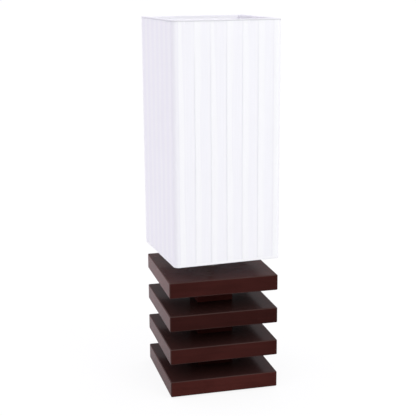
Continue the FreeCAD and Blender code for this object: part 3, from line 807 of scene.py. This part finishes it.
class LAMP_OT_stage(bpy.types.Operator):
    """Adds the camera, the pale floor and the soft light"""

    bl_idname = "lamp.stage"
    bl_label = "Stage"

    def execute(self, context):
        settings = context.scene.lamp_stage
        self.add_camera(context, settings)
        self.add_floor(settings)
        self.add_sky(context, settings)
        for name in ("key", "fill"):
            self.add_lamp(context, settings, name)
        context.scene.view_settings.view_transform = "Standard"
        return {"FINISHED"}

    def add_camera(self, context, settings):
        """Camera at the photograph's place, turned by azimuth, elevation and roll."""
        azimuth = settings.camera_azimuth
        elevation = settings.camera_elevation
        back = Vector((math.sin(azimuth) * math.cos(elevation), -math.cos(azimuth) * math.cos(elevation),
                       math.sin(elevation)))
        level_right = Vector((math.cos(azimuth), math.sin(azimuth), 0))
        level_up = back.cross(level_right)
        roll = settings.camera_roll
        right = level_right * math.cos(roll) + level_up * math.sin(roll)
        up = level_up * math.cos(roll) - level_right * math.sin(roll)
        data = bpy.data.cameras.new("photograph")
        data.lens = settings.camera_lens
        data.sensor_width = 36
        camera = bpy.data.objects.new("photograph", data)
        context.scene.collection.objects.link(camera)
        turn = Matrix((right, up, back)).transposed().to_4x4()
        camera.matrix_world = Matrix.Translation(settings.camera_place) @ turn
        context.scene.camera = camera

    def add_floor(self, settings):
        """Pale round floor that the camera and mirrors see as nearly white."""
        floor = start_from(bpy.ops.mesh.primitive_circle_add, vertices=96, radius=settings.floor_radius,
                           fill_type="NGON")
        floor.name = "floor"
        finish = Finish("pale floor")
        lit = finish.node("ShaderNodeBsdfDiffuse", None, {"Color": rgba(settings.floor_colour)})
        white = finish.node("ShaderNodeEmission", None, {"Color": WHITE, "Strength": settings.floor_glow})
        finish.mixed(finish.seen(settings.floor_white, settings.floor_mirrored), lit, white)
        floor.data.materials.append(finish.material)

    def add_sky(self, context, settings):
        """Soft light from above, weak near the horizon, in front of a white background."""
        world = bpy.data.worlds.new("studio")
        context.scene.world = world
        nodes = Nodes(world, "ShaderNodeOutputWorld")
        height = nodes.parts(nodes.place)[2]
        rise = nodes.ramp(height, settings.sky_low_edge, settings.sky_high_edge)
        horizon = settings.horizon_strength
        strength = horizon + (settings.sky_strength - horizon) * rise
        light = nodes.node("ShaderNodeBackground", None,
                           {"Color": rgba(settings.sky_colour), "Strength": strength})
        white = nodes.node("ShaderNodeBackground", None, {"Color": WHITE})
        nodes.mixed(nodes.seen(1.0, settings.background_mirrored), light, white)

    def add_lamp(self, context, settings, name):
        """Round soft lamp turned to the middle of the table lamp."""
        data = bpy.data.lights.new(name, "AREA")
        data.shape = "DISK"
        data.size = getattr(settings, name + "_size")
        data.energy = getattr(settings, name + "_power")
        data.color = getattr(settings, name + "_colour")
        lamp = bpy.data.objects.new(name, data)
        context.scene.collection.objects.link(lamp)
        place = getattr(settings, name + "_place")
        aim = Vector((0, 0, settings.aim_height))
        turn = (Vector(place) - aim).to_track_quat("Z", "Y").to_matrix().to_4x4()
        lamp.matrix_world = Matrix.Translation(place) @ turn


class LAMP_OT_wood(bpy.types.Operator):
    """Gives the slabs and spacers their stained and lacquered wood, with painted highlights, reflections and
    light in the gaps
    """

    bl_idname = "lamp.wood"
    bl_label = "Wooden stack"

    def execute(self, context):
        settings = context.scene.lamp_wood
        for slab in ("base_slab", "second_slab", "third_slab", "top_slab"):
            dress([slab], lacquered_wood(settings, slab, edge_highlight=1.0))
        for spacer in ("lower_spacer", "middle_spacer", "upper_spacer"):
            dress([spacer], lacquered_wood(settings, spacer, edge_highlight=0.0))
        return {"FINISHED"}


class LAMP_OT_underside(bpy.types.Operator):
    """Finishes the feet, the cover under the base and the bushing"""

    bl_idname = "lamp.underside"
    bl_label = "Underside"

    def execute(self, context):
        rubber = plain_finish("rubber", (0.03, 0.03, 0.03), rough=0.75, bumps=0.0006, height=0.00004)
        board = plain_finish("fibre board", (0.035, 0.03, 0.028), rough=0.9, bumps=0.0004,
                             height=0.00008, variation=0.3)
        dress(["rubber_feet"], rubber)
        dress(["base_cover"], board)
        dress(["cord_bushing"], plain_finish("black plastic bushing", (0.012, 0.012, 0.013), rough=0.35))
        return {"FINISHED"}


class LAMP_OT_pipe(bpy.types.Operator):
    """Models the threaded pipe and finishes its washers and nuts"""

    bl_idname = "lamp.pipe"
    bl_label = "Pipe and nuts"

    def execute(self, context):
        settings = context.scene.lamp_fittings
        nickel = plain_finish("nickel plate", (0.80, 0.79, 0.76), rough=0.28, bumps=0.0008, metal=1.0)
        zinc = plain_finish("zinc plate", (0.55, 0.56, 0.58), rough=0.34, bumps=0.0005, height=0.00002,
                            metal=1.0)
        low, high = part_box("threaded_pipe")
        crest = high.x
        root = crest - settings.pipe_thread
        bore = settings.pipe_bore
        chamfer = settings.pipe_thread
        tube = lathe([(bore, low.z), (root - chamfer, low.z), (root, low.z + chamfer),
                      (root, high.z - chamfer), (root - chamfer, high.z), (bore, high.z)], 48)
        pitch = settings.pipe_pitch
        turns = int((high.z - low.z - 2 * chamfer) / pitch) - 1
        ridge = screw_thread(root, crest, pitch, low.z + chamfer, turns, steps=24)
        pipe = settle(joined([tube, ridge]), "lamp_pipe", nickel, "base")
        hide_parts("threaded_pipe")
        dress(["top_washer", "top_nut", "holder_nut"], nickel)
        dress(["bottom_washer", "bottom_nut"], zinc)
        return {"FINISHED"}


class LAMP_OT_holder(bpy.types.Operator):
    """Models the lampholder's cap and shell and finishes its contacts"""

    bl_idname = "lamp.holder"
    bl_label = "Lampholder"

    def execute(self, context):
        settings = context.scene.lamp_fittings
        black = plain_finish("black plastic", (0.012, 0.012, 0.013), rough=0.3, bumps=0.0005)
        brass = plain_finish("brass", (0.72, 0.52, 0.22), rough=0.3, bumps=0.0006, metal=1.0)
        glazed = plain_finish("glazed insulator", (0.78, 0.76, 0.70), rough=0.25)
        pressed = plain_finish("pressed aluminium", (0.75, 0.75, 0.76), rough=0.32, metal=1.0)
        self.cap(settings, black)
        self.shell(settings, black)
        dress(["lampholder_insulator"], glazed)
        dress(["terminal_screws", "center_contact", "switch_shaft"], brass)
        dress(["screw_shell"], pressed)
        return {"FINISHED"}

    def cap(self, settings, black):
        """Dome with a ring of fine ribs where it is gripped to unscrew it from the shell."""
        low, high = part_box("lampholder_cap")
        outer = high.x
        body = outer - settings.cap_rib
        inner = outer - settings.cap_wall
        hub = settings.cap_hub / 2
        bore = settings.cap_bore / 2
        rim, dome = settings.cap_rim, settings.cap_dome
        hub_top = low.z + settings.cap_hub_height
        soft, band, slope = 0.0005, 0.0008, 0.0004
        outline = [(bore, low.z), (hub - soft, low.z), (hub, low.z + soft), (hub, low.z + rim)]
        dome_steps = 12
        for step in range(1, dome_steps + 1):
            turn = QUARTER_TURN * step / dome_steps
            outline.append((hub + (body - hub) * math.sin(turn),
                            low.z + dome - (dome - rim) * math.cos(turn)))
        outline += [(body, high.z - band - slope), (outer, high.z - band), (outer, high.z), (inner, high.z),
                    (inner, low.z + dome), (hub + (inner - hub) / 3, hub_top), (bore, hub_top)]
        rib_radius = settings.cap_rib * 1.2
        rib_start, rib_end = low.z + dome - 0.0010, high.z - 0.0014
        ribs = ribs_round(rib_radius, outer - rib_radius, rib_start, rib_end, settings.cap_ribs)
        cap = settle(joined([lathe(outline, 72)] + ribs), "holder_cap", black, "base")
        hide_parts("lampholder_cap")

    def shell(self, settings, black):
        """Collar with a shoulder for the shade and a threaded skirt for its ring."""
        low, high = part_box("lampholder_shell")
        flange = high.x
        outer = settings.collar / 2
        root, crest = settings.skirt_root, settings.skirt_crest
        mouth, narrow, wide = settings.shell_mouth, settings.shell_bore, settings.shell_foot
        seat = low.z + settings.seat
        under = seat - settings.seat_flange
        lip, ledge = high.z - settings.lip, low.z + settings.ledge
        groove, soft, fillet = 0.0004, 0.0007, 0.0010
        groove_bottom, groove_top = low.z + 0.0022, low.z + 0.0036
        neck = [(outer, under - fillet), (outer + 0.3 * fillet, under - 0.3 * fillet),
                (outer + fillet, under)]
        outline = [(wide, low.z), (outer - groove, low.z), (outer, low.z + groove), (outer, groove_bottom),
                   (outer - groove, groove_bottom + groove), (outer - groove, groove_top - groove),
                   (outer, groove_top)] + neck
        outline += [(flange - soft, under), (flange, under + soft), (flange, seat - soft),
                    (flange - soft, seat), (root, seat), (root, high.z - soft), (root - soft, high.z),
                    (mouth + soft, high.z), (mouth, high.z - soft), (mouth, lip), (narrow, lip),
                    (narrow, ledge), (wide, ledge)]
        body = lathe(outline, 96)
        self.drill(body, settings.switch_hole / 2, settings.switch_height)
        pitch = settings.skirt_pitch
        plain_foot, plain_end = 0.0030, 0.0010
        turns = int((high.z - seat - plain_foot - plain_end) / pitch) - 1
        thread = screw_thread(root, crest, pitch, seat + plain_foot, turns, steps=48)
        shell = settle(joined([body, thread]), "holder_shell", black, "base")
        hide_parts("lampholder_shell")

    def drill(self, body, radius, height):
        """Hole through the collar's side towards +X for the switch."""
        depth, inset = 0.012, 0.004
        bit = start_from(bpy.ops.mesh.primitive_cylinder_add, vertices=32, radius=radius, depth=depth,
                         location=(body.dimensions.x / 2 - inset, 0, height),
                         rotation=(0, QUARTER_TURN, 0))
        add_modifier(body, "BOOLEAN", object=bit, operation="DIFFERENCE", solver="EXACT")
        bpy.data.objects.remove(bit)


class LAMP_OT_switch(bpy.types.Operator):
    """Models the switch knob"""

    bl_idname = "lamp.switch"
    bl_label = "Switch knob"

    def execute(self, context):
        settings = context.scene.lamp_fittings
        low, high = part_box("switch_knob")
        height = settings.switch_height
        width = high.z - low.z
        hub, bore = settings.knob_hub / 2, settings.knob_bore / 2
        start = low.x
        neck = start + settings.knob_hub_length
        soft, slope = 0.0005, 0.0010
        turned = lathe([(bore, start), (hub - soft, start), (hub, start + soft), (hub, neck),
                        (hub * 0.75, neck + slope), (bore, neck + slope)], 48)
        turned.rotation_euler.y = QUARTER_TURN
        turned.location.z = height
        blade = self.blade(settings, neck, high.x, height, width)
        ribs = self.grips(settings, neck, high.x, height, width)
        black = plain_finish("black knob", (0.014, 0.014, 0.015), rough=0.28, bumps=0.0005)
        knob = settle(joined([turned, blade] + ribs), "switch_knob_grip", black, "switch")
        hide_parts("switch_knob")
        return {"FINISHED"}

    def blade(self, settings, start, end, height, width):
        """Flat grip that thins towards its end, with round edges."""
        thinned, edge = 0.8, 0.0009
        piece = start_from(bpy.ops.mesh.primitive_cube_add, size=1,
                           location=((start + end) / 2, 0, height))
        piece.scale = (end - start, settings.knob_thickness, width)
        bpy.ops.object.transform_apply(location=False, rotation=False, scale=True)
        bpy.ops.object.mode_set(mode="EDIT")
        select_faces(piece, 0, 1)
        bpy.ops.transform.resize(value=(1, thinned, 1))
        bpy.ops.mesh.select_all(action="SELECT")
        bpy.ops.mesh.bevel(offset=edge, segments=4)
        bpy.ops.object.mode_set(mode="OBJECT")
        return piece

    def grips(self, settings, start, end, height, width):
        """Upright ribs on both sides of the blade."""
        radius = settings.knob_rib
        side = settings.knob_thickness / 2 * 0.9 - radius * 0.2
        reach = width * 0.34
        count = settings.knob_ribs
        step = (end - start) / (count + 3)
        first = rib(radius, 0, height - reach, height + reach)
        spots = [(start + step * (k + 2), y) for k in range(count) for y in (side, -side)]
        ribs = [copied(first, move=(x, y, 0)) for x, y in spots]
        bpy.data.objects.remove(first)
        return ribs


class LAMP_OT_ring(bpy.types.Operator):
    """Models the ring that clamps the shade"""

    bl_idname = "lamp.ring"
    bl_label = "Shade ring"

    def execute(self, context):
        settings = context.scene.lamp_fittings
        low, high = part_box("shade_ring")
        outer, inner = high.x, settings.ring_bore
        body = outer - settings.ring_rib
        soft, end = 0.0006, 0.0005
        ring = lathe([(inner, low.z), (body - soft, low.z), (body, low.z + soft), (body, high.z - 2 * soft),
                      (body - 2 * soft, high.z), (inner + soft, high.z), (inner, high.z - soft)], 96)
        pitch = settings.skirt_pitch
        turns = int((high.z - low.z - 2 * end) / pitch) - 1
        thread = screw_thread(inner, settings.ring_crest, pitch, low.z + end, turns, steps=48)
        ribs = ribs_round(settings.ring_rib, body, low.z + soft, high.z - 0.0014, settings.ring_ribs)
        black = plain_finish("black ring", (0.013, 0.013, 0.014), rough=0.32, bumps=0.0005)
        piece = settle(joined([ring, thread] + ribs), "clamping_ring", black, "ring")
        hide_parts("shade_ring")
        return {"FINISHED"}


class LAMP_OT_bulb(bpy.types.Operator):
    """Models the bulb's cap and frosted glass"""

    bl_idname = "lamp.bulb"
    bl_label = "Bulb"

    def execute(self, context):
        settings = context.scene.lamp_fittings
        dress(["bulb_tip"], plain_finish("solder", (0.62, 0.62, 0.62), rough=0.45, metal=1.0))
        dress(["bulb_insulator"], plain_finish("black glass", (0.01, 0.01, 0.015), rough=0.12))
        self.cap(settings)
        self.glass(settings)
        return {"FINISHED"}

    def cap(self, settings):
        """Rolled metal cap with a round thread and a rim that holds the glass."""
        low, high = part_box("bulb_cap")
        root, crest = settings.bulb_root, settings.bulb_crest
        inner = settings.bulb_cap_bore
        rim = high.z - 0.0012
        soft, bead = 0.0006, 0.0003
        body = lathe([(inner, low.z), (root - soft, low.z), (root, low.z + soft), (root, rim - soft),
                      (root + bead, rim), (root + bead, high.z - bead), (root, high.z), (inner, high.z)], 64)
        turns = settings.bulb_turns - 1
        thread = screw_thread(root, crest, settings.bulb_pitch, low.z, turns, rounded=True)
        metal = plain_finish("plated thread", (0.72, 0.71, 0.69), rough=0.22, metal=1.0)
        cap = settle(joined([body, thread]), "bulb_screw_cap", metal, "bulb")
        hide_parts("bulb_cap")

    def glass(self, settings):
        """Tube that swells from its neck and ends in a half ball."""
        low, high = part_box("bulb_glass")
        wide, neck, wall = high.x, settings.bulb_neck, settings.bulb_wall
        shoulder = low.z + settings.bulb_shoulder
        round_start = high.z - wide
        swell_steps, round_steps = 8, 12
        outside = [(neck, low.z)]
        for step in range(swell_steps + 1):
            swell = 0.5 - 0.5 * math.cos(math.pi * step / swell_steps)
            outside.append((neck + (wide - neck) * swell,
                            shoulder + settings.bulb_swell * step / swell_steps))
        for step in range(round_steps):
            turn = QUARTER_TURN * step / round_steps
            outside.append((wide * math.cos(turn), round_start + wide * math.sin(turn)))
        thin = (wide - wall) / wide
        inside = [(radius * thin, min(height, round_start + (height - round_start) * thin))
                  for radius, height in outside]
        outline = outside + [(0, high.z), (0, high.z - wall)] + inside[::-1]
        frosted = plain_finish("frosted glass", (0.90, 0.90, 0.89), rough=0.5, bumps=0.0003)
        glass = settle(lathe(outline, 64), "bulb_envelope", frosted, "bulb")
        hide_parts("bulb_glass")


class LAMP_OT_shade_frame(bpy.types.Operator):
    """Finishes the shade's wires and fitter and models its liner"""

    bl_idname = "lamp.shade_frame"
    bl_label = "Shade frame and liner"

    def execute(self, context):
        settings = context.scene.lamp_shade
        coat = plain_finish("white powder coat", (0.85, 0.85, 0.85), rough=0.4, bumps=0.0006,
                            height=0.00003)
        dress(["shade_fitter", "shade_top_wire"], coat)
        self.liner(settings)
        return {"FINISHED"}

    def liner(self, settings):
        """White sheet inside the cover, its top end rolled over the frame wire."""
        low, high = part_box("shade_liner")
        back, face, roll = settings.liner_back, settings.liner_face, settings.liner_roll
        soft = 0.0006
        roll_end, taper_end = high.z - 0.010, high.z - 0.022
        section = [(back, low.z), (back, high.z - soft), (back + soft, high.z),
                   (roll - 2 * soft, high.z), (roll - soft / 2, high.z - soft / 2), (roll, high.z - 2 * soft),
                   (roll, roll_end), ((roll + face) / 2, (roll_end + taper_end) / 2), (face, taper_end),
                   (face, low.z)]
        sheet = square_sweep(section, settings.width / 2, settings.corner_radius, settings.turn)
        # Painted light: the liner glows faintly, standing in for daylight through the cover.
        white = plain_finish("white liner", settings.liner, rough=0.55, bumps=0.0005, height=0.00002,
                             variation=0.02, Emission_Color=rgba(settings.liner),
                             Emission_Strength=settings.painted_glow)
        settle(sheet, "rolled_liner", white, "shade", 50)
        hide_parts("shade_liner")


class LAMP_OT_shade_cover(bpy.types.Operator):
    """Folds the pleated fabric round the shade"""

    bl_idname = "lamp.shade_cover"
    bl_label = "Pleated cover"

    def execute(self, context):
        settings = context.scene.lamp_shade
        low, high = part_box("shade_cover")
        path = pleat_path(settings)
        total = wall_length(settings)
        pitch = total / settings.pleat_count
        heights = self.rows(low.z, high.z)
        tape_reach, top_reach, top_opening = 0.010, 0.060, 0.25

        def edge_run(pleat, height):
            seed = pleat % settings.pleat_count * 3.7
            drift = settings.drift * noise.noise(Vector((seed, height * 6, 0.5)))
            return settings.first_edge + pleat * pitch + drift

        def fold_place(spot, height):
            pleat, share, extra, inset = spot
            start, end = edge_run(pleat, height), edge_run(pleat + 1, height)
            run = start + (end - start) * share + extra
            belly = settings.belly * noise.noise(Vector((run * 60, height * 9, 2.5)))
            pressed = 1 - eased(min(1, (height - low.z) / tape_reach, (high.z - height) / tape_reach))
            opening = top_opening + (1 - top_opening) * eased(min(1, (high.z - height) / top_reach))
            opening = max(settings.least_opening, opening * tightness(settings, run % total))
            relief = inset * opening * (1 - 0.4 * pressed) + settings.pressed * pressed
            return run, max(settings.cloth / 2, relief + belly * math.sin(math.pi * share))

        def cloth_place(column, row):
            height = heights[row]
            run, inset = fold_place(path[column % len(path)], height)
            place = wall_place(settings, run % total, inset)
            return (place.x, place.y, height), (used[column], height - low.z)

        used = [0.0]
        middle = heights[len(heights) // 2]
        runs = [fold_place(spot, middle) for spot in path]
        runs.append((runs[0][0] + total, runs[0][1]))
        for (run, inset), (next_run, next_inset) in zip(runs, runs[1:]):
            used.append(used[-1] + math.hypot(next_run - run, next_inset - inset))
        cover = cloth_tube("pleated_cover", len(path), len(heights), cloth_place, settings.cloth)
        cloth = pleated_fabric(settings, used[-1] / settings.pleat_count, pitch, high.z - low.z)
        settle(cover, "pleated_cover", cloth, "shade")
        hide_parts("shade_cover")
        return {"FINISHED"}

    def rows(self, bottom, top):
        """Heights of the cloth's rows, close together near both ends."""
        ends = (0, 0.003, 0.006, 0.010, 0.018)
        middle_rows = 19
        first, last = bottom + 0.026, top - 0.026
        heights = [bottom + step for step in ends]
        heights += [first + (last - first) * row / (middle_rows - 1) for row in range(middle_rows)]
        return heights + [top - step for step in reversed(ends)]


class LAMP_OT_tapes(bpy.types.Operator):
    """Folds a tape round each end of the shade"""

    bl_idname = "lamp.tapes"
    bl_label = "Tapes"

    def execute(self, context):
        settings = context.scene.lamp_shade
        top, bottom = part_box("top_binding")[1].z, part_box("bottom_binding")[0].z
        self.fold_tape(settings, "top_binding", "top_tape", top, -1, settings.top_tape, settings.rim,
                       settings.liner)
        self.fold_tape(settings, "bottom_binding", "bottom_tape", bottom, 1, settings.bottom_tape,
                       settings.fabric, settings.fabric)
        return {"FINISHED"}

    def tape_section(self, settings, reach):
        """The tape's way from outside over the rim to inside: (inset, height from the edge)."""
        outside, inside = 0.00006, settings.tape_depth
        rim, overlap = 0.0007, 0.0012
        half = settings.cloth * 0.6
        turns = [QUARTER_TURN * k / 4 for k in range(5)]
        path = [(outside, reach), (outside, (reach + rim) / 2)]
        path += [(outside + rim * (1 - math.cos(turn)), half + rim * (1 - math.sin(turn)))
                 for turn in turns]
        path.append(((outside + inside) / 2, half))
        path += [(inside - rim * (1 - math.sin(turn)), half + rim * (1 - math.cos(turn)))
                 for turn in turns]
        return path + [(inside, (reach + rim) / 2), (inside, reach + overlap)]

    def fold_tape(self, settings, node, name, edge, inward, reach, outside, inside):
        """Tape round one end of the shade, from this far up the outside to the inside."""
        total = wall_length(settings)
        columns, wander = 360, 0.00010
        section = self.tape_section(settings, reach)
        cloth = tape_fabric(name.replace("_", " "), outside, inside,
                            reach + settings.tape_depth - 0.0008)
        used = [0.0]
        for (inset, height), (next_inset, next_height) in zip(section, section[1:]):
            used.append(used[-1] + math.hypot(next_inset - inset, next_height - height))

        def tape_place(column, row):
            run = total * column / columns
            inset, height = section[row]
            around = wander * noise.noise(Vector((run * 90, row * 0.4, edge)))
            height += around * (height / reach)
            place = wall_place(settings, run % total, inset + around / 2)
            return (place.x, place.y, edge + inward * height), (run, used[row])

        tape = cloth_tube(name, columns, len(section), tape_place, settings.cloth * 1.2)
        if inward > 0:
            bpy.ops.object.mode_set(mode="EDIT")
            turn_out()
            bpy.ops.object.mode_set(mode="OBJECT")
        settle(tape, name, cloth, "shade", 60)
        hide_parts(node)


class LAMP_PT_panel(bpy.types.Panel):
    """Lists the steps that dress the lamp"""

    bl_idname = "LAMP_PT_panel"
    bl_label = "Column Table Lamp"
    bl_space_type = "VIEW_3D"
    bl_region_type = "UI"
    bl_category = "Lamp"

    def draw(self, context):
        for operator in operators:
            self.layout.operator(operator.bl_idname)


groups = {"lamp_stage": StageSettings, "lamp_wood": WoodSettings, "lamp_shade": ShadeSettings,
          "lamp_fittings": FittingSettings}
operators = (LAMP_OT_stage, LAMP_OT_wood, LAMP_OT_underside, LAMP_OT_pipe, LAMP_OT_holder, LAMP_OT_switch,
             LAMP_OT_ring, LAMP_OT_bulb, LAMP_OT_shade_frame, LAMP_OT_shade_cover, LAMP_OT_tapes)


def register():
    for group in groups.values():
        bpy.utils.register_class(group)
    for name, group in groups.items():
        setattr(bpy.types.Scene, name, PointerProperty(type=group))
    for operator in operators:
        bpy.utils.register_class(operator)
    bpy.utils.register_class(LAMP_PT_panel)


def unregister():
    bpy.utils.unregister_class(LAMP_PT_panel)
    for operator in reversed(operators):
        bpy.utils.unregister_class(operator)
    for name in groups:
        delattr(bpy.types.Scene, name)
    for group in groups.values():
        bpy.utils.unregister_class(group)


def main():
    register()
    for operator in operators:
        step = operator.bl_idname.split(".")[1]
        getattr(bpy.ops.lamp, step)()


if __name__ == "__main__":
    main()
